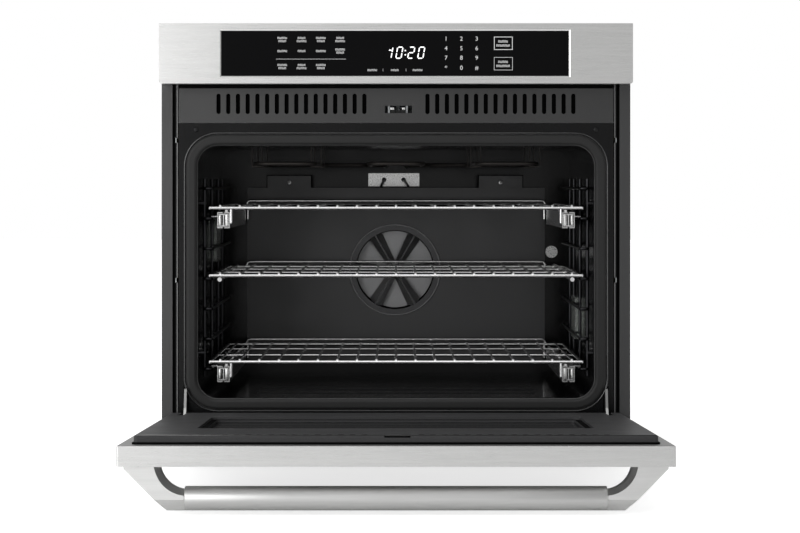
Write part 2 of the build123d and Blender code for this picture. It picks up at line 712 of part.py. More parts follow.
def junction_box():
    """Terminal box on the back with a round conduit entry."""
    body = box((121, 219), (REAR - 60, REAR - 0.5), (581, 649))
    body -= box((123, 217), (REAR - 58, REAR - 3.5), (583, 647))
    body += rod((150, REAR - 40, SHELF_TOP), (150, REAR - 40, 582), 5)
    body -= disc(170, 615, 11.2, (REAR - 5, REAR + 1))
    for x in (140, 170, 200):
        body += box((x - 8, x + 8), (REAR - 58.5, REAR - 40), (600, 630))
    return body


# ---- door (drawn closed) -------------------------------------------------

def door_skin():
    half = FACE_W / 2
    pan = box((-half, half), (DOOR_FACE, RIM_BACK), DOOR_Z)
    corners = pan.edges().filter_by(Axis.Y)
    pan = fillet(corners, 2.5)
    pan -= box((-half + SHEET, half - SHEET), (DOOR_FACE + SHEET, RIM_BACK + 1),
               (DOOR_Z[0] + SHEET, DOOR_Z[1] - SHEET))
    pan -= rounded(WINDOW_X + 4, (WINDOW_Z[0] - 12, WINDOW_Z[1] + 12), 6, (DOOR_FACE - 1, DOOR_FACE + 3))
    for side in (-1, 1):
        slot = sorted((side * (HINGE_X - 5), side * (HINGE_X + 5)))
        pan -= box(slot, (HINGE_Y - 10, RIM_BACK + 1), (DOOR_Z[0] - 1, DOOR_Z[0] + 8))
        for x in HANDLE_SCREW_X:
            pan -= disc(side * x, HANDLE_Z, HANDLE_SCREW_R + 0.1, (DOOR_FACE - 1, DOOR_FACE + 3))
    return pan


def door_liner():
    """Enamelled inner pan: rim flange, raised panel, stepped window and air slots."""
    half = FACE_W / 2 - SHEET - 0.3
    low = DOOR_Z[0] + SHEET + 0.3
    high = DOOR_Z[1] - SHEET - 0.3
    flange = box((-half, half), (RIM_BACK - SHEET, RIM_BACK), (low, high))
    raised = box((-LINER_HALF, LINER_HALF), (RIM_BACK - 0.5, LINER_FACE), LINER_Z)
    raised = fillet(raised.edges().filter_by(Axis.Y), 5)
    raised = fillet(raised.faces().sort_by(Axis.Y)[-1].edges(), 2.5)
    liner = flange + raised
    inset = (-LINER_HALF + SHEET, LINER_HALF - SHEET)
    hollow = (LINER_Z[0] + SHEET, LINER_Z[1] - SHEET)
    liner -= box(inset, (RIM_BACK - 3, LINER_FACE - SHEET), hollow)
    step_z = (WINDOW_Z[0] - 12, WINDOW_Z[1] + 12)
    liner += rounded(WINDOW_X + 12, step_z, 14, (LINER_FACE - 7.5, LINER_FACE - 0.5))
    liner -= rounded(WINDOW_X + 9, (WINDOW_Z[0] - 9, WINDOW_Z[1] + 9), 11, (LINER_FACE - 4, LINER_FACE + 1))
    liner -= rounded(WINDOW_X, WINDOW_Z, 6, (LINER_FACE - 10, LINER_FACE + 1))
    for start, count in ((-284.0, 16), (35.0, 17)):
        for column in range(count):
            x = start + 16 * column
            liner -= box((x - 4, x + 4), (LINER_FACE - 3, LINER_FACE + 1), (LINER_Z[1] - 22, LINER_Z[1] - 9))
    liner -= box((-16, 20), (LINER_FACE - 3, LINER_FACE + 1), (LATCH_Z - 9, LINER_Z[1] + 1))
    for side in (-1, 1):
        slot = sorted((side * (HINGE_X - 5), side * (HINGE_X + 5)))
        liner -= box(slot, (RIM_BACK - 3, LINER_FACE + 1), (low - 1, 128))
    return liner


def inner_panes():
    """Two equal panes, one flush in the liner and one behind it."""
    x = WINDOW_X + 8
    z = (WINDOW_Z[0] - 8, WINDOW_Z[1] + 8)
    return group(box((-x, x), (LINER_FACE - back - 4, LINER_FACE - back), z) for back in (8, 18))


def outer_glass():
    x = WINDOW_X + 12
    pane = box((-x, x), (DOOR_FACE + SHEET, DOOR_FACE + SHEET + 4), (WINDOW_Z[0] - 20, WINDOW_Z[1] + 20))
    return pane


def glass_frame():
    """Spacer frame that clamps the two inner panes to the liner."""
    x = WINDOW_X + 14
    z = (WINDOW_Z[0] - 14, WINDOW_Z[1] + 14)
    frame = box((-x, x), (LINER_FACE - 26, LINER_FACE - 7.6), z)
    frame -= box((-x + 5.8, x - 5.8), (LINER_FACE - 22, LINER_FACE - 7), (z[0] + 5.8, z[1] - 5.8))
    frame -= box((-WINDOW_X, WINDOW_X), (LINER_FACE - 28, LINER_FACE - 7), WINDOW_Z)
    frame += rect_ring(WINDOW_X + 8.2, WINDOW_X + 2, (LINER_FACE - 17.9, LINER_FACE - 12.1))
    return frame


def rect_ring(outer, inner, y):
    grow = outer - WINDOW_X
    shrink = inner - WINDOW_X
    ring = box((-outer, outer), y, (WINDOW_Z[0] - grow, WINDOW_Z[1] + grow))
    hole_z = (WINDOW_Z[0] - shrink, WINDOW_Z[1] + shrink)
    return ring - box((-inner, inner), (y[0] - 1, y[1] + 1), hole_z)


def door_insulation():
    """Blanket between the liner and the skin, clear of window and hinges."""
    y = (DOOR_FACE + 8, RIM_BACK - SHEET - 0.5)
    pad = box((-325, 325), y, (DOOR_Z[0] + 14, LINER_Z[1] - 6))
    hole = WINDOW_X + 18
    return pad - box((-hole, hole), (y[0] - 1, y[1] + 1), (WINDOW_Z[0] - 24, WINDOW_Z[1] + 24))


def handle_axis_y():
    return DOOR_FACE - HANDLE_GAP - HANDLE_R


def handle_bar():
    y = handle_axis_y()
    bar = rod((-HANDLE_HALF, y, HANDLE_Z), (HANDLE_HALF, y, HANDLE_Z), HANDLE_R)
    return bar - rod((-HANDLE_HALF - 1, y, HANDLE_Z), (HANDLE_HALF + 1, y, HANDLE_Z), HANDLE_R - 2.5)


def handle_bracket():
    """Cast end bracket: chamfered outside, scooped inside, bevelled upper edge."""
    deep = HANDLE_GAP + 2 * HANDLE_R
    outer = 371.0
    tip = outer - deep + 4
    with BuildLine() as outline:
        Polyline((HANDLE_HALF + 35, 0), (outer, 0), (outer, 4), (tip, deep), (HANDLE_HALF, deep),
                 (HANDLE_HALF, 34))
        ThreePointArc((HANDLE_HALF, 34), (HANDLE_HALF + 25.6, 20.6), (HANDLE_HALF + 35, 0))
    face = make_face(outline.line)
    # the outline's second axis points away from the door face
    plane = Plane(origin=(0, DOOR_FACE, HANDLE_Z), x_dir=(1, 0, 0), z_dir=(0, 0, 1))
    block = extrude(plane * mirror(face, Plane.XZ), 17.5, both=True)
    edge_y = DOOR_FACE - deep
    bevel = prism([(edge_y - 1, HANDLE_Z + 18.5), (edge_y + 17, HANDLE_Z + 18.5), (edge_y - 1, HANDLE_Z + 0.5)],
                  Plane(origin=(330, 0, 0), x_dir=(0, 1, 0), z_dir=(1, 0, 0)), 120)
    block -= bevel
    # wider scoop on the upper side, where the palm comes in
    scoop = block.edges().filter_by(GeomType.CIRCLE).sort_by(Axis.Z)[-1]
    block = chamfer(scoop, length=SCOOP_DEEP, length2=SCOOP_WIDE, reference=scoop_wall(block))
    for x in HANDLE_SCREW_X:
        block -= disc(x, HANDLE_Z, HANDLE_SCREW_R + 0.03, (DOOR_FACE - 14.2, DOOR_FACE + 1))
    return block


def scoop_wall(block):
    """Curved inner face of a handle bracket."""
    return block.faces().filter_by(GeomType.CYLINDER)[0]


def handle_screw(x):
    shank = disc(x, HANDLE_Z, HANDLE_SCREW_R, (DOOR_FACE - 14, DOOR_FACE + SHEET + 1))
    return shank + disc(x, HANDLE_Z, 5, (DOOR_FACE + SHEET, DOOR_FACE + SHEET + 4))


def hinge_channel():
    """Folded steel channel inside the door's edge, with the pivot pin riveted across it."""
    x = HINGE_X
    y = (DOOR_FACE + 3, RIM_BACK - SHEET - 0.2)
    body = box((x - 9, x + 9), y, (DOOR_Z[0] + 2.2, 330))
    body -= box((x - 7, x + 7), (y[0] + 2, y[1] + 1), (DOOR_Z[0] + 1, 331))
    return body + rod((x - 10.5, HINGE_Y, HINGE_Z), (x + 10.5, HINGE_Y, HINGE_Z), PIN_R)


# ---- write every node ----------------------------------------------------

def door_nodes():
    nodes = {
        "door_skin": door_skin(),
        "door_liner": door_liner(),
        "inner_panes": inner_panes(),
        "outer_glass": outer_glass(),
        "glass_frame": glass_frame(),
        "door_insulation": door_insulation(),
        "handle_bar": handle_bar(),
        "handle_brackets": both_sides(handle_bracket()),
        "handle_screws": group(handle_screw(side * x) for side in (-1, 1) for x in HANDLE_SCREW_X),
        "hinge_channels": both_sides(hinge_channel()),
    }
    return {name: lowered(shape) for name, shape in nodes.items()}


def chassis_nodes():
    front = [screw(x, z, FRONT, -1) for x, z in frame_screw_places()]
    rear = [screw(x, z, REAR, 1) for x, z in rear_screw_places()]
    clips = [screw(x, 456, BAFFLE_FRONT + 4, -1) for x in BAFFLE_TABS]
    slides = [slide_outer(side, z) for side in (-1, 1) for z in SLIDE_MID_Z.values()]
    return {
        "base_pan": base_pan(),
        "side_panel_left": side_panel(-1),
        "side_panel_right": side_panel(1),
        "top_cover": top_cover(),
        "rear_cover": rear_cover(),
        "side_trims": both_sides(side_trim()),
        "bottom_trim": bottom_trim(),
        "front_frame": front_frame(),
        "cover_screws": group(front + rear + clips),
        "vent_fascia": vent_fascia(),
        "oven_cavity": oven_cavity(),
        "door_gasket": door_gasket(),
        "insulation_wrap": insulation_wrap(),
        "bake_element": bake_element(),
        "broil_element": broil_element(),
        "element_brackets": element_brackets(),
        "convection_element": convection_element(),
        "fan_baffle": fan_baffle(),
        "fan_guard": fan_guard(),
        "convection_motor": convection_motor(),
        "sensor_plate": sensor_plate(),
        "sensor_rods": group([sensor_rod(SENSOR_X[0], -5), sensor_rod(SENSOR_X[1], 8)]),
        "probe_jack": probe_jack(),
        "lamp_lenses": group(lamp_lens(*place) for place in lamp_places()),
        "lamp_housings": group(lamp_housing(*place) for place in lamp_places()),
        "lamp_bulbs": group(lamp_bulb(*place) for place in lamp_places()),
        "rack_ladders": both_sides(rack_ladder()),
        "slide_rails": group(slides),
        "control_panel": control_panel(),
        "control_glass": control_glass(),
        "control_board": control_board(),
        "clock_display": clock_display(),
        "air_divider": air_divider(),
        "relay_board": relay_board(),
        "blower_housing": blower_housing(),
        "blower_motor": blower_motor(),
        "latch_bracket": latch_bracket(),
        "hinge_receivers": both_sides(hinge_receiver()),
        "hinge_arms": both_sides(hinge_arm()),
        "junction_box": junction_box(),
    }


def moving_nodes():
    nodes = {
        "rack_middle": rack_middle(),
        "fan_wheel": fan_wheel(),
        "blower_wheel": blower_wheel(),
        "latch_bolt": latch_bolt(),
    }
    for level, z in SLIDE_MID_Z.items():
        nodes["rack_" + level] = rack_on_slides("rack_" + level, level)
        nodes["slide_middle_" + level] = both_sides(slide_middle(1, z))
        nodes["slide_inner_" + level] = both_sides(slide_inner(1, z))
    return nodes


os.makedirs("parts", exist_ok=True)
for name, shape in {**chassis_nodes(), **door_nodes(), **moving_nodes()}.items():
    export_step(shape, os.path.join("parts", name + ".step"))
    print(name)
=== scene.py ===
import json
import math
import bpy
import bmesh
from mathutils import Matrix, Vector


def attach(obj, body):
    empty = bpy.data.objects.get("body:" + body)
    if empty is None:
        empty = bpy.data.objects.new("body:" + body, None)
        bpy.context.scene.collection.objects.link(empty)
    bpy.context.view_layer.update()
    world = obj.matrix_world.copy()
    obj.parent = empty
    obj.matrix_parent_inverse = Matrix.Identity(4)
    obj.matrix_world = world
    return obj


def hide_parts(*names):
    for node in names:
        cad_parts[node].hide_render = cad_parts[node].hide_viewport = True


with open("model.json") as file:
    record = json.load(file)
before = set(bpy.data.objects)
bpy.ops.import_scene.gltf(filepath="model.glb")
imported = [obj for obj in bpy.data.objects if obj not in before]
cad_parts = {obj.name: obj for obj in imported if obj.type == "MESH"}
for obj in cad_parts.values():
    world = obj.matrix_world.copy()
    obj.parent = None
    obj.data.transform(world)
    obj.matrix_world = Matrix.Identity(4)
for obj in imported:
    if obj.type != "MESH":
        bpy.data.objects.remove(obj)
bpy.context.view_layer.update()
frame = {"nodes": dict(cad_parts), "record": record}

nodes = frame["nodes"]
print("frame loaded:", len(nodes), "nodes")


def mm(value):
    return value / 1000


def linear(hexColour, alpha=1.0):
    channels = []
    for start in (0, 2, 4):
        c = int(hexColour[start:start + 2], 16) / 255
        channels.append(c / 12.92 if c <= 0.04045 else ((c + 0.055) / 1.055) ** 2.4)
    return (*channels, alpha)


# camera level with the upper part of the cavity, shifted down to frame the lowered door
view = {
    "distance": 3.822,     # metres in front of the oven's centre
    "height": 0.453,
    "lens": 98.4,
    "shift": (0.005, -0.103),
}
cameraData = bpy.data.cameras.new("studioCamera")
cameraData.lens = view["lens"]
cameraData.sensor_width = 36
cameraData.shift_x, cameraData.shift_y = view["shift"]
camera = bpy.data.objects.new("studioCamera", cameraData)
camera.location = (0, -view["distance"], view["height"])
camera.rotation_euler = (math.radians(90), 0, 0)
bpy.context.scene.collection.objects.link(camera)
bpy.context.scene.camera = camera
bpy.context.scene.view_settings.view_transform = "Standard"


def areaLight(name, place, target, size, power):
    data = bpy.data.lights.new(name, "AREA")
    data.shape = "RECTANGLE"
    data.size, data.size_y = size
    data.energy = power
    lamp = bpy.data.objects.new(name, data)
    lamp.location = place
    lamp.rotation_euler = (Vector(target) - Vector(place)).to_track_quat("-Z", "Y").to_euler()
    bpy.context.scene.collection.objects.link(lamp)


softboxes = {
    "keySoftbox": {"place": (-2.0, -3.4, 1.0), "target": (0, -0.3, 0.45), "size": (1.7, 2.2), "power": 40},
    "fillCard": {"place": (2.8, -2.6, 0.9), "target": (0, -0.3, 0.4), "size": (1.2, 1.8), "power": 2.5},
    "topSoftbox": {"place": (-0.4, -1.2, 2.9), "target": (0, -0.5, 0.2), "size": (2.4, 1.6), "power": 24},
}
for lightName, softbox in softboxes.items():
    areaLight(lightName, **softbox)


def addNode(tree, kind, settings=None, links=None):
    node = tree.nodes.new(kind)
    for key, value in (settings or {}).items():
        if isinstance(key, int) or key in node.inputs:
            node.inputs[key].default_value = value
        else:
            setattr(node, key, value)
    for key, source in (links or {}).items():
        tree.links.new(source, node.inputs[key])
    return node


# the room is plain white where it is seen, and lights the oven less than that, more from the left
studio = {"sky": 0.66, "skyLeft": 1.25, "skyRight": 0.5, "skyEdge": 0.7, "floorSize": 14, "floorGlow": 0.8}
world = bpy.data.worlds.new("paleSweep")
bpy.context.scene.world = world
world.use_nodes = True
sky = world.node_tree
sky.nodes.clear()
skyPath = addNode(sky, "ShaderNodeLightPath")
skySeen = addNode(sky, "ShaderNodeBackground", {"Color": (1, 1, 1, 1), "Strength": 1.0})
skyDirection = addNode(sky, "ShaderNodeTexCoord")
skySplit = addNode(sky, "ShaderNodeSeparateXYZ", links={0: skyDirection.outputs["Generated"]})
skySide = addNode(sky, "ShaderNodeMapRange",
                  {"From Min": -studio["skyEdge"], "From Max": studio["skyEdge"],
                   "To Min": studio["skyLeft"], "To Max": studio["skyRight"]}, {"Value": skySplit.outputs["X"]})
skyPower = addNode(sky, "ShaderNodeMath", {"operation": "MULTIPLY", 1: studio["sky"]}, {0: skySide.outputs[0]})
skyLight = addNode(sky, "ShaderNodeBackground", {"Color": (1, 1, 1, 1)}, {"Strength": skyPower.outputs[0]})
skyMix = addNode(sky, "ShaderNodeMixShader", links={0: skyPath.outputs["Is Camera Ray"], 1: skyLight.outputs[0],
                                                    2: skySeen.outputs[0]})
addNode(sky, "ShaderNodeOutputWorld", links={"Surface": skyMix.outputs[0]})

floorMesh = bmesh.new()
bmesh.ops.create_grid(floorMesh, x_segments=2, y_segments=2, size=studio["floorSize"])
floorData = bpy.data.meshes.new("paleFloor")
floorMesh.to_mesh(floorData)
floorMesh.free()
floor = bpy.data.objects.new("paleFloor", floorData)
bpy.context.scene.collection.objects.link(floor)
print("studio ready")


def newMaterial(name, settings):
    material = bpy.data.materials.new(name)
    material.use_nodes = True
    tree = material.node_tree
    shader = tree.nodes["Principled BSDF"]
    for key, value in settings.items():
        shader.inputs[key].default_value = value
    return material, tree, shader


def objectSpace(tree, stretch=(1, 1, 1)):
    place = addNode(tree, "ShaderNodeTexCoord")
    scaled = addNode(tree, "ShaderNodeMapping", {"Scale": stretch}, {"Vector": place.outputs["Object"]})
    return scaled.outputs["Vector"]


def perMetre(sizeMm):
    return 1000 / sizeMm     # pattern repeats per metre for a feature this many millimetres wide


def paleFloorPaint():
    # matt white sweep paper: even and soft, with a glow that only the camera sees, so it stays pale under the door
    material, tree, shader = newMaterial("whiteSweepPaper", {"Roughness": 0.9, "Specular IOR Level": 0.1})
    speck = addNode(tree, "ShaderNodeTexNoise", {"Scale": 3.0, "Detail": 3.0}, {"Vector": objectSpace(tree)})
    shade = addNode(tree, "ShaderNodeValToRGB", links={"Fac": speck.outputs[0]})
    shade.color_ramp.elements[0].color = linear("f4f4f4")
    shade.color_ramp.elements[1].color = linear("fcfcfc")
    tree.links.new(shade.outputs["Color"], shader.inputs["Base Color"])
    tree.links.new(shade.outputs["Color"], shader.inputs["Emission Color"])
    seen = addNode(tree, "ShaderNodeLightPath")
    glow = addNode(tree, "ShaderNodeMath", {"operation": "MULTIPLY", 1: studio["floorGlow"]},
                   {0: seen.outputs["Is Camera Ray"]})
    tree.links.new(glow.outputs[0], shader.inputs["Emission Strength"])
    return material


def brushedSteel(name, light, dark, rough, grainMm, along=0, strength=0.12):
    # ferritic stainless sheet, belt-brushed one way: long fine lines that spread a highlight across the grain
    material, tree, shader = newMaterial(name, {"Metallic": 1.0, "Roughness": rough, "Anisotropic": 0.25})
    stretch = [perMetre(grainMm)] * 3
    stretch[along] = perMetre(grainMm * 130)
    grain = addNode(tree, "ShaderNodeTexNoise", {"Scale": 1.0, "Detail": 4.0, "Roughness": 0.65},
                    {"Vector": objectSpace(tree, stretch)})
    coarse = [perMetre(grainMm * 14)] * 3
    coarse[along] = perMetre(grainMm * 420)
    band = addNode(tree, "ShaderNodeTexNoise", {"Scale": 1.0, "Detail": 2.0},
                   {"Vector": objectSpace(tree, coarse)})
    both = addNode(tree, "ShaderNodeMath", {"operation": "MULTIPLY"}, {0: grain.outputs[0], 1: band.outputs[0]})
    tone = addNode(tree, "ShaderNodeValToRGB", links={"Fac": both.outputs[0]})
    tone.color_ramp.elements[0].position = 0.12
    tone.color_ramp.elements[0].color = linear(dark)
    tone.color_ramp.elements[1].position = 0.42
    tone.color_ramp.elements[1].color = linear(light)
    tree.links.new(tone.outputs["Color"], shader.inputs["Base Color"])
    spread = addNode(tree, "ShaderNodeMapRange", {"To Min": rough - 0.05, "To Max": rough + 0.09},
                     {"Value": grain.outputs[0]})
    tree.links.new(spread.outputs[0], shader.inputs["Roughness"])
    bump = addNode(tree, "ShaderNodeBump", {"Strength": strength, "Distance": mm(0.05)},
                   {"Height": grain.outputs[0]})
    tree.links.new(bump.outputs[0], shader.inputs["Normal"])
    return material


def enamel(name, base, lighter, rough, grainMm, bumpMm, gloss=0.5):
    # vitreous enamel fired on sheet steel: deep black glass with a faint orange-peel and tiny paler grit
    material, tree, shader = newMaterial(name, {"Roughness": rough, "IOR": 1.52, "Specular IOR Level": gloss})
    space = objectSpace(tree)
    grit = addNode(tree, "ShaderNodeTexNoise", {"Scale": perMetre(grainMm), "Detail": 2.0}, {"Vector": space})
    tone = addNode(tree, "ShaderNodeValToRGB", links={"Fac": grit.outputs[0]})
    tone.color_ramp.elements[0].position = 0.42
    tone.color_ramp.elements[0].color = linear(base)
    tone.color_ramp.elements[1].position = 0.72
    tone.color_ramp.elements[1].color = linear(lighter)
    tree.links.new(tone.outputs["Color"], shader.inputs["Base Color"])
    cloud = addNode(tree, "ShaderNodeTexNoise", {"Scale": perMetre(90), "Detail": 3.0}, {"Vector": space})
    wear = addNode(tree, "ShaderNodeMapRange", {"To Min": rough * 0.8, "To Max": rough * 1.35},
                   {"Value": cloud.outputs[0]})
    tree.links.new(wear.outputs[0], shader.inputs["Roughness"])
    peel = addNode(tree, "ShaderNodeTexNoise", {"Scale": perMetre(7), "Detail": 1.0}, {"Vector": space})
    bump = addNode(tree, "ShaderNodeBump", {"Strength": 0.35, "Distance": mm(bumpMm)}, {"Height": peel.outputs[0]})
    tree.links.new(bump.outputs[0], shader.inputs["Normal"])
    return material


def galvanised(name):
    # hot-dip zinc sheet: pale grey crystals a few centimetres across, softly shiny
    material, tree, shader = newMaterial(name, {"Metallic": 0.85, "Roughness": 0.42})
    space = objectSpace(tree)
    spangle = addNode(tree, "ShaderNodeTexVoronoi", {"Scale": perMetre(9)}, {"Vector": space})
    cloud = addNode(tree, "ShaderNodeTexNoise", {"Scale": perMetre(3), "Detail": 3.0}, {"Vector": space})
    grey = addNode(tree, "ShaderNodeSeparateColor", links={0: spangle.outputs["Color"]})
    mixed = addNode(tree, "ShaderNodeMath", {"operation": "MULTIPLY_ADD", 1: 0.6},
                    {0: grey.outputs[0], 2: cloud.outputs[0]})
    tone = addNode(tree, "ShaderNodeValToRGB", links={"Fac": mixed.outputs[0]})
    tone.color_ramp.elements[0].position = 0.35
    tone.color_ramp.elements[0].color = linear("9b9ea0")
    tone.color_ramp.elements[1].position = 1.0
    tone.color_ramp.elements[1].color = linear("adb0b1")
    tree.links.new(tone.outputs["Color"], shader.inputs["Base Color"])
    rough = addNode(tree, "ShaderNodeMapRange", {"To Min": 0.3, "To Max": 0.52}, {"Value": grey.outputs[1]})
    tree.links.new(rough.outputs[0], shader.inputs["Roughness"])
    return material


def plainMetal(name, colour, rough, metallic=1.0, grainMm=2.0, spread=0.12):
    # plated or bare rolled steel: almost even, with a slight cloudiness in its shine
    material, tree, shader = newMaterial(name, {"Metallic": metallic, "Roughness": rough})
    cloud = addNode(tree, "ShaderNodeTexNoise", {"Scale": perMetre(grainMm), "Detail": 3.0},
                    {"Vector": objectSpace(tree)})
    tone = addNode(tree, "ShaderNodeValToRGB", links={"Fac": cloud.outputs[0]})
    base = linear(colour)
    tone.color_ramp.elements[0].color = (*[c * 0.86 for c in base[:3]], 1)
    tone.color_ramp.elements[1].color = base
    tree.links.new(tone.outputs["Color"], shader.inputs["Base Color"])
    wear = addNode(tree, "ShaderNodeMapRange", {"To Min": rough, "To Max": rough + spread},
                   {"Value": cloud.outputs[0]})
    tree.links.new(wear.outputs[0], shader.inputs["Roughness"])
    return material


def braidedGlassFibre():
    # knitted glass-fibre tube dyed black: fine diagonal plaits, matt with a weak sheen
    material, tree, shader = newMaterial("braidedGlassFibre", {"Roughness": 0.62, "Sheen Weight": 0.25,
                                                               "Sheen Roughness": 0.4})
    space = objectSpace(tree)
    plait = addNode(tree, "ShaderNodeTexWave", {"wave_type": "BANDS", "bands_direction": "DIAGONAL",
                                                "Scale": perMetre(1.3) / 3.18, "Distortion": 1.5, "Detail": 1.0},
                    {"Vector": space})
    fuzz = addNode(tree, "ShaderNodeTexNoise", {"Scale": perMetre(1.4), "Detail": 3.0}, {"Vector": space})
    both = addNode(tree, "ShaderNodeMath", {"operation": "MULTIPLY"}, {0: plait.outputs[1], 1: fuzz.outputs[0]})
    tone = addNode(tree, "ShaderNodeValToRGB", links={"Fac": both.outputs[0]})
    tone.color_ramp.elements[0].color = linear("080808")
    tone.color_ramp.elements[1].position = 0.7
    tone.color_ramp.elements[1].color = linear("161616")
    tree.links.new(tone.outputs["Color"], shader.inputs["Base Color"])
    bump = addNode(tree, "ShaderNodeBump", {"Strength": 0.4, "Distance": mm(0.3)}, {"Height": both.outputs[0]})
    tree.links.new(bump.outputs[0], shader.inputs["Normal"])
    return material


def mineralWool():
    # matted yellow-grey mineral fibre: soft tufts, fully matt
    material, tree, shader = newMaterial("mineralWool", {"Roughness": 0.95})
    tuft = addNode(tree, "ShaderNodeTexNoise", {"Scale": perMetre(12), "Detail": 6.0},
                   {"Vector": objectSpace(tree)})
    tone = addNode(tree, "ShaderNodeValToRGB", links={"Fac": tuft.outputs[0]})
    tone.color_ramp.elements[0].color = linear("8c7f55")
    tone.color_ramp.elements[1].color = linear("d6cba2")
    tree.links.new(tone.outputs["Color"], shader.inputs["Base Color"])
    bump = addNode(tree, "ShaderNodeBump", {"Strength": 0.9, "Distance": mm(3)}, {"Height": tuft.outputs[0]})
    tree.links.new(bump.outputs[0], shader.inputs["Normal"])
    return material


def glass(name, tint, rough, through, ior=1.5, gloss=0.5):
    # float or pressed glass, with a faint film that breaks its mirror shine
    material, tree, shader = newMaterial(name, {"Base Color": linear(tint), "Transmission Weight": through,
                                                "IOR": ior, "Specular IOR Level": gloss})
    film = addNode(tree, "ShaderNodeTexNoise", {"Scale": perMetre(60), "Detail": 3.0},
                   {"Vector": objectSpace(tree)})
    smear = addNode(tree, "ShaderNodeMapRange", {"To Min": rough, "To Max": rough + 0.05},
                    {"Value": film.outputs[0]})
    tree.links.new(smear.outputs[0], shader.inputs["Roughness"])
    return material


def circuitBoard():
    # glass-epoxy laminate under green solder mask, with paler tracks
    material, tree, shader = newMaterial("greenLaminate", {"Roughness": 0.45})
    tracks = addNode(tree, "ShaderNodeTexBrick", {"Scale": perMetre(30), "Color1": linear("1b4a2b"),
                                                  "Color2": linear("205a34"), "Mortar": linear("5f8a4f")},
                     {"Vector": objectSpace(tree)})
    tree.links.new(tracks.outputs[0], shader.inputs["Base Color"])
    return material


def plainInk(name, colour, glow, gloss=0.5):
    # opaque ceramic ink, with the faint unevenness of a printed film
    material, tree, shader = newMaterial(name, {"Roughness": 0.6, "Emission Strength": glow,
                                                "Specular IOR Level": gloss})
    film = addNode(tree, "ShaderNodeTexNoise", {"Scale": perMetre(2)}, {"Vector": objectSpace(tree)})
    tone = addNode(tree, "ShaderNodeValToRGB", links={"Fac": film.outputs[0]})
    base = linear(colour)
    tone.color_ramp.elements[0].color = (*[c * 0.85 for c in base[:3]], 1)
    tone.color_ramp.elements[1].color = base
    tree.links.new(tone.outputs["Color"], shader.inputs["Base Color"])
    tree.links.new(tone.outputs["Color"], shader.inputs["Emission Color"])
    return material


def lippedPanel():
    # zinc-coated side sheet: its front lip is painted black and only the cut edge stays bare
    material = galvanised("galvanisedLippedPanel")
    tree = material.node_tree
    shader = tree.nodes["Principled BSDF"]
    place = addNode(tree, "ShaderNodeSeparateXYZ", links={0: objectSpace(tree)})
    inFront = addNode(tree, "ShaderNodeMath", {"operation": "LESS_THAN", 1: mm(-278.2)}, {0: place.outputs["Y"]})
    width = addNode(tree, "ShaderNodeMath", {"operation": "ABSOLUTE"}, {0: place.outputs["X"]})
    outer = addNode(tree, "ShaderNodeMath", {"operation": "GREATER_THAN", 1: mm(355.4)}, {0: width.outputs[0]})
    painted = addNode(tree, "ShaderNodeMath", {"operation": "MULTIPLY"},
                      {0: inFront.outputs[0], 1: outer.outputs[0]})
    zinc = shader.inputs["Base Color"].links[0].from_socket
    bare = addNode(tree, "ShaderNodeMixRGB", {"Color2": linear("6e6e6e")},
                   {"Fac": inFront.outputs[0], "Color1": zinc})
    coat = addNode(tree, "ShaderNodeMixRGB", {"Color2": linear("0a0a0b")},
                   {"Fac": painted.outputs[0], "Color1": bare.outputs["Color"]})
    tree.links.new(coat.outputs["Color"], shader.inputs["Base Color"])
    return material


brushedStainless = brushedSteel("brushedStainless", "e2e2e1", "d9d9d8", 0.27, 0.3, strength=0.05)
tubeStainless = brushedSteel("brushedTubeStainless", "d4d4d3", "cacac9", 0.42, 0.3, strength=0.04)
castStainless = brushedSteel("satinCastStainless", "e6e6e5", "dcdcdb", 0.3, 0.5, strength=0.03)
foldedStainless = brushedSteel("foldedStainless", "a9a9a8", "9a9a99", 0.34, 0.35, along=2, strength=0.04)
# near-black matt ink for the strips, plugs and sheets set where the oven shows only shade: painted shade
shadeBlack = plainInk("paintedShadeBlack", "020202", 0.0, gloss=0.05)
lipEnamel = enamel("rolledLipEnamel", "0b0b0c", "141415", 0.16, 1.2, 0.03, gloss=1.0)
hingeSteel = plainMetal("oiledHingeSteel", "9c9c9b", 0.3)
polishedSteel = plainMetal("polishedSteelLip", "f0f0ef", 0.16)
# the pale ink glows at 0.45 though nothing lights it from behind: a painted glow
glowingPrintInk = plainInk("paleCeramicInkPaintedGlow", "c4c4c4", 0.45)
clockLight = plainInk("whiteClockSegments", "ffffff", 1.0)
cavityEnamel = enamel("cavityEnamel", "020203", "0a0a0c", 0.17, 1.1, 0.12, gloss=0.3)
baffleEnamel = enamel("baffleEnamel", "1e1e20", "28282a", 0.38, 1.3, 0.08, gloss=0.7)
linerEnamel = enamel("linerEnamel", "383839", "434344", 0.42, 1.0, 0.05, gloss=0.25)
frameEnamel = enamel("frameEnamel", "040405", "09090a", 0.25, 1.2, 0.05, gloss=0.22)
fasciaPaint = enamel("fasciaPaint", "0c0c0d", "131314", 0.44, 1.0, 0.04, gloss=0.8)
trimPaint = enamel("trimPaint", "0a0a0c", "111113", 0.44, 1.0, 0.04, gloss=0.9)
zincSheet = galvanised("galvanisedSheet")
rackChrome = plainMetal("rackChrome", "f1f1f1", 0.12)
ladderChrome = plainMetal("darkenedLadderChrome", "3b3b3d", 0.24)
slideSteel = plainMetal("zincSlideSteel", "d9d9d9", 0.2)
brightSteel = plainMetal("brightRolledSteel", "e4e4e3", 0.22)
screwSteel = plainMetal("darkZincScrew", "303031", 0.34, grainMm=1)
fanSteel = plainMetal("stampedFanSteel", "525253", 0.4)
wheelSteel = plainMetal("aluminisedFanSteel", "9a9a9b", 0.42)
zincScrew = plainMetal("brightZincScrew", "d2d2d2", 0.25, grainMm=1)
motorSteel = plainMetal("motorCanSteel", "9a9b9d", 0.4)
sensorOxide = plainMetal("blackOxideSteel", "1d1d1d", 0.3, metallic=0.6)
elementSheath = plainMetal("oxidisedNickelAlloy", "3a3735", 0.45, metallic=0.7)
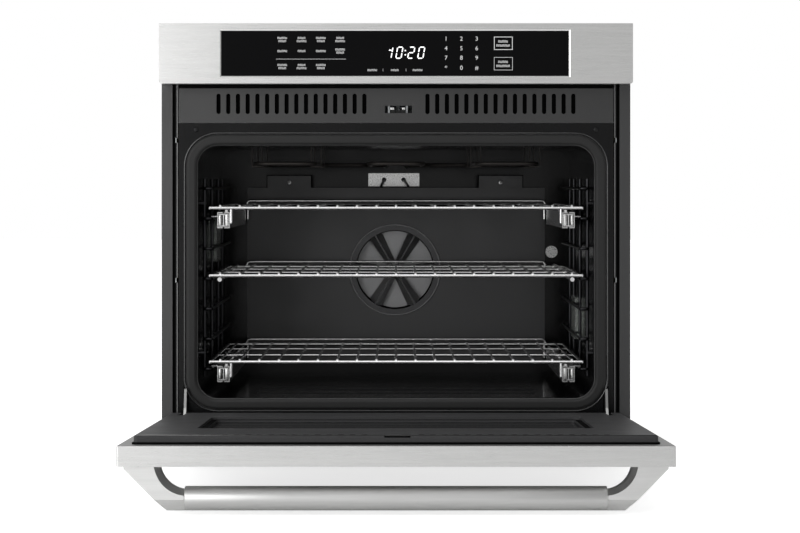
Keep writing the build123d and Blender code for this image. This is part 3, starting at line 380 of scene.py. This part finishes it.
blowerMoulding = plainMetal("blackNylonMoulding", "1c1c1c", 0.5, metallic=0.0)
displayModule = plainMetal("darkDisplayModule", "131313", 0.25, metallic=0.0)
gasketBraid = braidedGlassFibre()
woolFill = mineralWool()
controlGlass = glass("blackControlGlass", "020203", 0.05, 0.0, gloss=0.12)
doorGlass = glass("heatReflectingGlass", "3b4042", 0.02, 1.0)
windowGlass = glass("blackWindowGlass", "060707", 0.04, 0.1, gloss=0.3)
lampGlass = glass("pressedLampGlass", "eef3ee", 0.12, 0.75)
bulbGlass = glass("frostedBulbGlass", "f7f3ea", 0.4, 0.6)
board = circuitBoard()
floor.data.materials.append(paleFloorPaint())

slotFinish = {
    "galvanised_sheet": zincSheet, "brushed_stainless": brushedStainless, "handle_steel": tubeStainless,
    "bracket_steel": castStainless, "frame_enamel": frameEnamel, "fascia_paint": fasciaPaint,
    "trim_paint": trimPaint, "cavity_enamel": cavityEnamel, "baffle_enamel": baffleEnamel,
    "liner_enamel": linerEnamel, "gasket_braid": gasketBraid, "mineral_wool": woolFill,
    "element_sheath": elementSheath, "bright_steel": brightSteel, "screw_steel": screwSteel,
    "motor_steel": motorSteel, "sensor_black": sensorOxide, "lamp_glass": lampGlass, "bulb_glass": bulbGlass,
    "rack_chrome": rackChrome, "ladder_wire": ladderChrome, "slide_steel": slideSteel,
    "control_glass": controlGlass, "circuit_board": board, "display_unit": displayModule,
    "door_glass": doorGlass, "outer_glass": windowGlass, "fan_steel": fanSteel, "blower_plastic": blowerMoulding,
}
sideFinish = lippedPanel()
ownFinish = {"fan_wheel": wheelSteel, "latch_bolt": sensorOxide, "inner_panes": windowGlass,
             "hinge_arms": hingeSteel, "side_panel_left": sideFinish, "side_panel_right": sideFinish}
for part in frame["record"]["subparts"]:
    cad = nodes[part["node"]]
    cad.data.materials.clear()
    cad.data.materials.append(ownFinish.get(part["node"], slotFinish[part["material_slot"]]))
print("CAD nodes finished")


def finishPiece(name, mesh, body, material, replaced=(), smooth=False, place=None):
    if place is not None:
        bmesh.ops.transform(mesh, matrix=place, verts=mesh.verts)
    bmesh.ops.recalc_face_normals(mesh, faces=mesh.faces)
    for face in mesh.faces:
        face.smooth = smooth
    data = bpy.data.meshes.new(name)
    mesh.to_mesh(data)
    mesh.free()
    data.materials.append(material)
    if smooth:
        data.set_sharp_from_angle(angle=math.radians(35))
    piece = bpy.data.objects.new(name, data)
    bpy.context.scene.collection.objects.link(piece)
    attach(piece, body)
    if replaced:
        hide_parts(*replaced)
    return piece


def addBlock(mesh, xRange, yRange, zRange):
    # closed block between three pairs of millimetres
    size = [mm(high - low) for low, high in (xRange, yRange, zRange)]
    centre = [mm((high + low) / 2) for low, high in (xRange, yRange, zRange)]
    bmesh.ops.create_cube(mesh, size=1, matrix=Matrix.Translation(centre) @ Matrix.Diagonal((*size, 1)))


def addPair(mesh, near, far, yRange, zRange):
    # the same block on the left and on the right
    for side in (-1, 1):
        addBlock(mesh, sorted((side * near, side * far)), yRange, zRange)


def softenEdges(mesh, offset, segments):
    bmesh.ops.bevel(mesh, geom=mesh.edges[:], offset=mm(offset), segments=segments, affect="EDGES", profile=0.5,
                    material=-1)


def latheAlong(mesh, profile, place, segments=48):
    # profile of (distance along, radius) in millimetres, spun about X and put in place
    verts = [mesh.verts.new((mm(along), 0, mm(radius))) for along, radius in profile]
    edges = [mesh.edges.new(pair) for pair in zip(verts, verts[1:])]
    bmesh.ops.spin(mesh, geom=verts + edges, cent=(0, 0, 0), axis=(1, 0, 0), dvec=(0, 0, 0),
                   angle=math.tau, steps=segments, use_merge=True, use_duplicate=False)
    bmesh.ops.remove_doubles(mesh, verts=mesh.verts, dist=1e-7)
    bmesh.ops.transform(mesh, matrix=place, verts=mesh.verts)


doorHinge = Vector((0, -0.311, 0.059))
doorDown = (Matrix.Translation(doorHinge) @ Matrix.Rotation(math.radians(87.5), 4, "X")
            @ Matrix.Translation(-doorHinge))

# bevelled lip round the control glass
glassLip = {"x": (-282, 279), "z": (624, 700.5), "front": -322.05, "back": -321.5, "width": 1.9}
lipMesh = bmesh.new()
loops = []
for shrink, depth in ((0, glassLip["front"]), (glassLip["width"], glassLip["back"])):
    x0, x1 = glassLip["x"][0] + shrink, glassLip["x"][1] - shrink
    z0, z1 = glassLip["z"][0] + shrink, glassLip["z"][1] - shrink
    outline = ((x0, z0), (x1, z0), (x1, z1), (x0, z1))
    corners = [lipMesh.verts.new((mm(x), mm(depth), mm(z))) for x, z in outline]
    loops.append([lipMesh.edges.new((corners[i], corners[(i + 1) % 4])) for i in range(4)])
bmesh.ops.bridge_loops(lipMesh, edges=loops[0] + loops[1])
finishPiece("polishedGlassLip", lipMesh, "chassis", polishedSteel)

# printed marks on the glass: rows of short strokes stand for the mode names
printPlane = {"y": -321.5, "thick": 0.08}


def printedBar(mesh, x0, x1, z0, z1):
    y = printPlane["y"]
    addBlock(mesh, (x0, x1), (y - printPlane["thick"], y), (z0, z1))


def printedWord(mesh, x, z, letters, height, pitch):
    left = x - letters * pitch / 2
    for letter in range(letters):
        start = left + letter * pitch
        # each stroke pair keeps the open look of small capitals
        printedBar(mesh, start, start + pitch * 0.22, z - height / 2, z + height / 2)
        level = z + height * (0.5 - 0.17) if (letter * 7 + letters) % 3 else z - height * 0.5
        printedBar(mesh, start, start + pitch * 0.72, level, level + height * 0.17)
        printedBar(mesh, start + pitch * 0.52, start + pitch * 0.72, z - height / 2, z + height * 0.42)


modeMarks = {"x": -181.7, "pitch": 30.9, "rows": (684.4, 666.0, 641.1), "height": 3.4, "letter": 3.2, "line": 5.0,
             "rule": (-192.2, -80, 652.9, 653.4)}
footMarks = {"words": ((-37.6, 5), (-1.6, 4), (34.9, 5)), "z": 635.5, "height": 3.2, "letter": 3.2,
             "ticks": (-20.8, 16.0), "tickHalf": (0.2, 2)}
markMesh = bmesh.new()
for rowIndex, rowZ in enumerate(modeMarks["rows"]):
    for column in range(3 if rowIndex == 2 else 4):
        x = modeMarks["x"] + column * modeMarks["pitch"]
        twoLines = rowIndex != 1 or column == 3
        for line in ((-0.5, 0.5) if twoLines else (0,)):
            letters = 4 + (column + rowIndex + (line > 0)) % 2
            printedWord(markMesh, x, rowZ + line * modeMarks["line"], letters, modeMarks["height"],
                        modeMarks["letter"])
printedBar(markMesh, *modeMarks["rule"])
for x, letters in footMarks["words"]:
    printedWord(markMesh, x, footMarks["z"], letters, footMarks["height"], footMarks["letter"])
halfWide, halfTall = footMarks["tickHalf"]
for x in footMarks["ticks"]:
    printedBar(markMesh, x - halfWide, x + halfWide, footMarks["z"] - halfTall, footMarks["z"] + halfTall)

# two outlined touch buttons
touchButtons = {"x": (156.9, 186.7), "z": ((667.9, 689.0), (635.4, 656.2)), "line": (0.95, 0.6),
                "words": ((2.9, 5), (-3.6, 7)), "height": 3.6, "letter": 3.2}
for (z0, z1), line in zip(touchButtons["z"], touchButtons["line"]):
    x0, x1 = touchButtons["x"]
    printedBar(markMesh, x0, x1, z0, z0 + line)
    printedBar(markMesh, x0, x1, z1 - line, z1)
    printedBar(markMesh, x0, x0 + line, z0 + line, z1 - line)
    printedBar(markMesh, x1 - line, x1, z0 + line, z1 - line)
    for shift, letters in touchButtons["words"]:
        printedWord(markMesh, (x0 + x1) / 2, (z0 + z1) / 2 + shift, letters, touchButtons["height"],
                    touchButtons["letter"])
finishPiece("screenPrintedMarks", markMesh, "chassis", glowingPrintInk)

# keypad numbers, set as outlines and pressed on like the marks
keypad = {"x": (80.1, 104.7, 129.2), "z": (685.5, 670.1, 654.9, 638.9), "size": 9.4, "raised": 0.04,
          "keys": "123456789*0#"}
for index, keyName in enumerate(keypad["keys"]):
    letterCurve = bpy.data.curves.new("keyOutline", "FONT")
    letterCurve.body = keyName
    letterCurve.size = mm(keypad["size"])
    letterCurve.align_x = "CENTER"
    letterCurve.align_y = "CENTER"
    letterCurve.extrude = mm(keypad["raised"])
    letterObject = bpy.data.objects.new("keyOutline", letterCurve)
    letterMesh = bmesh.new()
    letterMesh.from_mesh(bpy.data.meshes.new_from_object(letterObject))
    bpy.data.objects.remove(letterObject)
    spot = Vector((mm(keypad["x"][index % 3]), mm(printPlane["y"] - keypad["raised"]), mm(keypad["z"][index // 3])))
    keyWord = {"*": "star", "#": "hash"}.get(keyName, keyName)
    finishPiece("keypadNumber_" + keyWord, letterMesh, "chassis", glowingPrintInk,
                place=Matrix.Translation(spot) @ Matrix.Rotation(math.radians(90), 4, "X"))

# leaning seven-segment clock
clock = {"z": 663.4, "height": 17.8, "width": 8.4, "stroke": 1.7, "lean": math.tan(math.radians(10)),
         "digits": ((-10.6, "bc"), (5.4, "abcdef"), (24.4, "abged"), (40.4, "abcdef")), "colon": 14.9,
         "dot": {"half": 1, "rise": 3.4}, "flag": {"reach": (6.5, 0.5), "rise": 4}}
segmentMesh = bmesh.new()


def clockStroke(mesh, start, end):
    # six-sided stroke with pointed ends
    half = clock["stroke"] / 2
    along = (Vector(end) - Vector(start)).normalized()
    across = Vector((-along.y, along.x)) * half
    ends = [Vector(start) + along * 0.6, Vector(end) - along * 0.6]
    outline = [ends[0], ends[0] + along * half + across, ends[1] - along * half + across, ends[1],
               ends[1] - along * half - across, ends[0] + along * half - across]
    verts = [mesh.verts.new((mm(p.x + (p.y - clock["z"]) * clock["lean"]), mm(printPlane["y"]), mm(p.y)))
             for p in outline]
    face = mesh.faces.new(verts)
    raised = bmesh.ops.extrude_face_region(mesh, geom=[face])["geom"]
    bmesh.ops.translate(mesh, vec=(0, -mm(printPlane["thick"]), 0),
                        verts=[v for v in raised if isinstance(v, bmesh.types.BMVert)])


for digitX, segments in clock["digits"]:
    left, right = digitX - clock["width"] / 2, digitX + clock["width"] / 2
    low, high = clock["z"] - clock["height"] / 2, clock["z"] + clock["height"] / 2
    middle = clock["z"]
    lines = {"a": ((left, high), (right, high)), "b": ((right, high), (right, middle)),
             "c": ((right, middle), (right, low)), "d": ((left, low), (right, low)),
             "e": ((left, low), (left, middle)), "f": ((left, middle), (left, high)),
             "g": ((left, middle), (right, middle))}
    for segment in segments:
        clockStroke(segmentMesh, *lines[segment])
oneRight = clock["digits"][0][0] + clock["width"] / 2
flag = clock["flag"]
clockStroke(segmentMesh, *[(oneRight - reach, clock["z"] + flag["rise"]) for reach in flag["reach"]])
dotHalf, dotRise = clock["dot"]["half"], clock["dot"]["rise"]
for dotZ in (clock["z"] - dotRise, clock["z"] + dotRise):
    printedBar(segmentMesh, clock["colon"] - dotHalf, clock["colon"] + dotHalf, dotZ - dotHalf, dotZ + dotHalf)
finishPiece("litClockSegments", segmentMesh, "chassis", clockLight)
print("control glass printed")

# drawn stainless handle tube: smooth barrel with a small rolled shoulder at each end
handleTube = {"half": 288.4, "radius": 16.7, "shoulder": 1.2, "y": -324 - 28.4 - 16.7, "z": 578}
half, radius, shoulder = handleTube["half"], handleTube["radius"], handleTube["shoulder"]
tubeProfile = [(-half, 0), (-half, radius - shoulder), (-half + shoulder * 0.3, radius - shoulder * 0.3),
               (-half + shoulder, radius), (-half / 2, radius), (0, radius), (half / 2, radius),
               (half - shoulder, radius), (half - shoulder * 0.3, radius - shoulder * 0.3),
               (half, radius - shoulder), (half, 0)]
tubeMesh = bmesh.new()
tubePlace = doorDown @ Matrix.Translation((0, mm(handleTube["y"]), mm(handleTube["z"])))
latheAlong(tubeMesh, tubeProfile, tubePlace, 96)
finishPiece("drawnHandleTube", tubeMesh, "door", tubeStainless, ("handle_bar",), smooth=True)

# folded stainless return round the door's inner edge, a grey border beside the black liner
foldedRim = {"outer": 377.6, "inner": 361.0, "low": 54.2, "high": 607.8, "topLow": 584.2, "back": -296.0,
             "thick": 0.5}
rimMesh = bmesh.new()
back = (foldedRim["back"], foldedRim["back"] + foldedRim["thick"])
addPair(rimMesh, foldedRim["inner"], foldedRim["outer"], back, (foldedRim["low"], foldedRim["high"]))
addBlock(rimMesh, (-foldedRim["inner"], foldedRim["inner"]), back, (foldedRim["topLow"], foldedRim["high"]))
finishPiece("foldedDoorRim", rimMesh, "door", foldedStainless, place=doorDown)

# pan-head sheet-metal screws, each with a dark cross flush in its head: painted shade in place of the cross recess
panHead = {"radius": 4.2, "height": 2.1, "crossSize": (4.2, 1.0)}
coverScrews = [(x, z, -280.0, -1) for x, z in ((-324, 541), (324, 541), (-250, 60), (250, 60))]
coverScrews += [(x, z, 280.0, 1) for x in (-340, 0, 340) for z in (40, 670)]
tabScrews = [(x, 456, 169.0, -1) for x in (-195.0, 191.0)]


def screwHeads(places):
    heads, crossShade = bmesh.new(), bmesh.new()
    r, h = panHead["radius"], panHead["height"]
    profile = [(0, 0), (0, r), (h * 0.45, r), (h * 0.8, r * 0.86), (h, r * 0.55), (h * 1.02, 0)]
    for x, z, y, face in places:
        oneHead = bmesh.new()
        aim = Matrix.Rotation(math.radians(90 * face), 4, "Z")
        latheAlong(oneHead, profile, Matrix.Translation((mm(x), mm(y), mm(z))) @ aim, 24)
        loose = bpy.data.meshes.new("oneHead")
        oneHead.to_mesh(loose)
        oneHead.free()
        heads.from_mesh(loose)
        bpy.data.meshes.remove(loose)
        long, wide = panHead["crossSize"]
        top = sorted((y + face * (h * 1.02 - 0.2), y + face * (h * 1.02 + 0.02)))
        addBlock(crossShade, (x - long / 2, x + long / 2), top, (z - wide / 2, z + wide / 2))
        addBlock(crossShade, (x - wide / 2, x + wide / 2), top, (z - long / 2, z + long / 2))
    return heads, crossShade


screwMesh, crossShadeMesh = screwHeads(coverScrews)
finishPiece("panHeadScrews", screwMesh, "chassis", screwSteel, ("cover_screws",), smooth=True)
# the flush black crosses are painted shade where the drive recesses would be
finishPiece("screwCrossPaintedShade", crossShadeMesh, "chassis", sensorOxide)
screwMesh, crossShadeMesh = screwHeads(tabScrews)
finishPiece("brightTabScrews", screwMesh, "chassis", zincScrew, smooth=True)
finishPiece("tabScrewCrossPaintedShade", crossShadeMesh, "chassis", sensorOxide)
print("handle, rim and screws made")

# black strip set in the gap over the vent fascia, and a black sheet behind its slots: both are painted shade where
# the gap and slots show only shade
fasciaGapShade = {"x": (-352, 352), "y": (-279.6, -274), "z": (608.2, 614.6)}
fasciaGapShadeMesh = bmesh.new()
addBlock(fasciaGapShadeMesh, fasciaGapShade["x"], fasciaGapShade["y"], fasciaGapShade["z"])
finishPiece("fasciaGapPaintedShade", fasciaGapShadeMesh, "chassis", shadeBlack)
# black sheet behind the vent slots: painted shade
ventSlotShade = {"spans": ((-350, -21), (29, 350)), "y": (-270.4, -270), "z": (556, 607)}
ventSlotShadeMesh = bmesh.new()
for span in ventSlotShade["spans"]:
    addBlock(ventSlotShadeMesh, span, ventSlotShade["y"], ventSlotShade["z"])
finishPiece("ventSlotPaintedShade", ventSlotShadeMesh, "chassis", shadeBlack)


def roundedLoop(mesh, half, low, high, radius, y, steps=10):
    # closed rounded rectangle of edges, facing along Y
    verts = []
    for cornerX, cornerZ, start in ((half - radius, high - radius, 0), (radius - half, high - radius, 90),
                                    (radius - half, low + radius, 180), (half - radius, low + radius, 270)):
        for step in range(steps + 1):
            angle = math.radians(start + 90 * step / steps)
            verts.append(mesh.verts.new((mm(cornerX + radius * math.cos(angle)), mm(y),
                                         mm(cornerZ + radius * math.sin(angle)))))
    return [mesh.edges.new((verts[i], verts[(i + 1) % len(verts)])) for i in range(len(verts))]


# rolled lip of the frame's mouth: a small half-round just outside the gasket
mouthLip = {"half": 341, "low": 87, "high": 534, "radius": 52, "y": -280, "tube": 1.5}
lipLoopMesh = bmesh.new()
lipLoops = []
for step in range(7):
    turn = math.pi * step / 6
    grow = mouthLip["tube"] * (1 + math.cos(turn))
    lipLoops.append(roundedLoop(lipLoopMesh, mouthLip["half"] + grow, mouthLip["low"] - grow,
                                mouthLip["high"] + grow, mouthLip["radius"] + grow,
                                mouthLip["y"] - mouthLip["tube"] * math.sin(turn), 12))
for first, second in zip(lipLoops, lipLoops[1:]):
    bmesh.ops.bridge_loops(lipLoopMesh, edges=first + second)
finishPiece("rolledMouthLip", lipLoopMesh, "chassis", lipEnamel, smooth=True)

# rolled edge of the fan guard, in the paler fan-wheel steel instead of the guard's own darker steel: a painted
# highlight along the edge
guardRim = {"x": -2, "z": 297, "radius": 82, "tube": 1.3, "y": 161.9}
rimRingMesh = bmesh.new()
rimVerts = [rimRingMesh.verts.new((mm(guardRim["radius"] + guardRim["tube"] * math.cos(math.tau * i / 10)),
                                   mm(guardRim["tube"] * math.sin(math.tau * i / 10)), 0)) for i in range(10)]
rimEdges = [rimRingMesh.edges.new((rimVerts[i], rimVerts[(i + 1) % 10])) for i in range(10)]
bmesh.ops.spin(rimRingMesh, geom=rimVerts + rimEdges, cent=(0, 0, 0), axis=(0, 1, 0), dvec=(0, 0, 0),
               angle=math.tau, steps=72, use_merge=True, use_duplicate=False)
finishPiece("guardRimPaintedHighlight", rimRingMesh, "chassis", wheelSteel, smooth=True,
            place=Matrix.Translation((mm(guardRim["x"]), mm(guardRim["y"]), mm(guardRim["z"]))))

# folded tabs over the baffle's top edge, each with a slightly larger black plate behind it: the plate is painted
# shadow round the tab
baffleTab = {"x": (-195, 191), "half": 39.5, "z": (446, 468), "y": (167.6, 168.9), "shadowMargin": 1.6,
             "shadowY": (169.2, 169.4)}
tabMesh, tabShadowMesh = bmesh.new(), bmesh.new()
for x in baffleTab["x"]:
    low, high = baffleTab["z"]
    addBlock(tabMesh, (x - baffleTab["half"], x + baffleTab["half"]), baffleTab["y"], (low, high))
    wide = baffleTab["half"] + baffleTab["shadowMargin"]
    addBlock(tabShadowMesh, (x - wide, x + wide), baffleTab["shadowY"], (low, high + baffleTab["shadowMargin"]))
finishPiece("foldedBaffleTabs", tabMesh, "chassis", baffleEnamel)
finishPiece("baffleTabPaintedShadow", tabShadowMesh, "chassis", shadeBlack)

# bright pins of the door lock, in the fascia's opening
lockPins = {"x": ((-9, -3), (10, 15)), "y": (-281.6, -276), "z": (573, 577.4), "soft": 0.8}
pinMesh = bmesh.new()
for span in lockPins["x"]:
    addBlock(pinMesh, span, lockPins["y"], lockPins["z"])
softenEdges(pinMesh, lockPins["soft"], 2)
finishPiece("brightLockPins", pinMesh, "door_lock", brightSteel)

# pressed end stops in the slides: a narrow one in the fixed member and a wider one in the moving member
slideStops = {"fixed": (285.4, 290.2, 8.5), "moving": (273.6, 279.4, 10), "y": (-248.2, -243),
              "heights": (394, 142.5), "soft": 1.4}
for level, height in zip(("upper", "lower"), slideStops["heights"]):
    for part, body in (("fixed", "chassis"), ("moving", level + "_rack")):
        near, far, tall = slideStops[part]
        stopMesh = bmesh.new()
        addPair(stopMesh, near, far, slideStops["y"], (height - tall, height + tall))
        softenEdges(stopMesh, slideStops["soft"], 3)
        finishPiece("pressedSlideStop_" + level + "_" + part, stopMesh, body, brightSteel, smooth=True)
print("front details made")

# black line between the door liner and the stainless band: painted shade between the two parts
linerShadeLine = {"x": (-360, 360), "y": (-295.9, -293.2), "z": (575.2, 577.6), "outer": 361.8, "low": 62}
linerShadeMesh = bmesh.new()
addBlock(linerShadeMesh, linerShadeLine["x"], linerShadeLine["y"], linerShadeLine["z"])
addPair(linerShadeMesh, linerShadeLine["x"][1], linerShadeLine["outer"], linerShadeLine["y"], (linerShadeLine["low"], linerShadeLine["z"][1]))
finishPiece("linerEdgePaintedShade", linerShadeMesh, "door", shadeBlack, place=doorDown)

# glossy bead along the upper edge of the liner's raised face
rimBead = {"x": (-357.5, 357.5), "y": (-284.35, -283.2), "z": (573.6, 574.8), "soft": 0.4}
beadMesh = bmesh.new()
addBlock(beadMesh, rimBead["x"], rimBead["y"], rimBead["z"])
softenEdges(beadMesh, rimBead["soft"], 2)
finishPiece("linerRimBead", beadMesh, "door", lipEnamel, smooth=True, place=doorDown)

# black plugs that fill the liner's air slots just under its face: painted shade standing in for the dark inside the
# open slots
slotShadeFill = {"starts": ((-284, 16), (35, 17)), "pitch": 16, "half": 3.9, "z": (553.1, 565.9),
             "y": (-285.3, -284.35)}
slotShadeMesh = bmesh.new()
for start, count in slotShadeFill["starts"]:
    for column in range(count):
        x = start + slotShadeFill["pitch"] * column
        addBlock(slotShadeMesh, (x - slotShadeFill["half"], x + slotShadeFill["half"]), slotShadeFill["y"], slotShadeFill["z"])
finishPiece("slotPaintedShade", slotShadeMesh, "door", shadeBlack, place=doorDown)

# rear plate that closes the control panel, and pressed beads that stiffen the casing
panelPlate = {"x": (-376, 376), "y": (-283.4, -282.4), "z": (618, 707.5)}
plateMesh = bmesh.new()
addBlock(plateMesh, panelPlate["x"], panelPlate["y"], panelPlate["z"])
finishPiece("galvanisedPanelBack", plateMesh, "chassis", zincSheet)
casingBeads = {"side": (357.3, 358.9), "sideHeights": (170, 345, 520), "sideY": (-190, 210),
               "rear": (279.8, 281.2), "rearX": (-230, 0, 230), "rearZ": (110, 500), "wide": 7, "soft": 1.3}
casingMesh = bmesh.new()
for side in (-1, 1):
    for z in casingBeads["sideHeights"]:
        addBlock(casingMesh, sorted((side * casingBeads["side"][0], side * casingBeads["side"][1])),
                 casingBeads["sideY"], (z - casingBeads["wide"], z + casingBeads["wide"]))
for x in casingBeads["rearX"]:
    addBlock(casingMesh, (x - casingBeads["wide"], x + casingBeads["wide"]), casingBeads["rear"],
             casingBeads["rearZ"])
softenEdges(casingMesh, casingBeads["soft"], 3)
finishPiece("pressedCasingBeads", casingMesh, "chassis", zincSheet, smooth=True)
print("door liner and casing details made")

# black strips on the step round the window, and black strips in the gaps between casing and side trims: both are
# painted shade
windowStepShade = {"inner": 277.2, "outer": 285.6, "low": (178.4, 186.8), "high": (420.2, 428.6),
              "y": (-287.9, -287.5)}
windowStepShadeMesh = bmesh.new()
for zSpan in (windowStepShade["low"], windowStepShade["high"]):
    addBlock(windowStepShadeMesh, (-windowStepShade["outer"], windowStepShade["outer"]), windowStepShade["y"], zSpan)
addPair(windowStepShadeMesh, windowStepShade["inner"], windowStepShade["outer"], windowStepShade["y"],
        (windowStepShade["low"][1], windowStepShade["high"][0]))
finishPiece("windowStepPaintedShade", windowStepShadeMesh, "door", shadeBlack, place=doorDown)
# black strips filling the gaps beside the side trims: painted shade
trimGapShade = {"near": 357.6, "far": 361.9, "y": (-276, -274), "z": (4, 669)}
trimGapShadeMesh = bmesh.new()
addPair(trimGapShadeMesh, trimGapShade["near"], trimGapShade["far"], trimGapShade["y"], trimGapShade["z"])
finishPiece("trimGapPaintedShade", trimGapShadeMesh, "chassis", shadeBlack)
print("painted shade strips made")
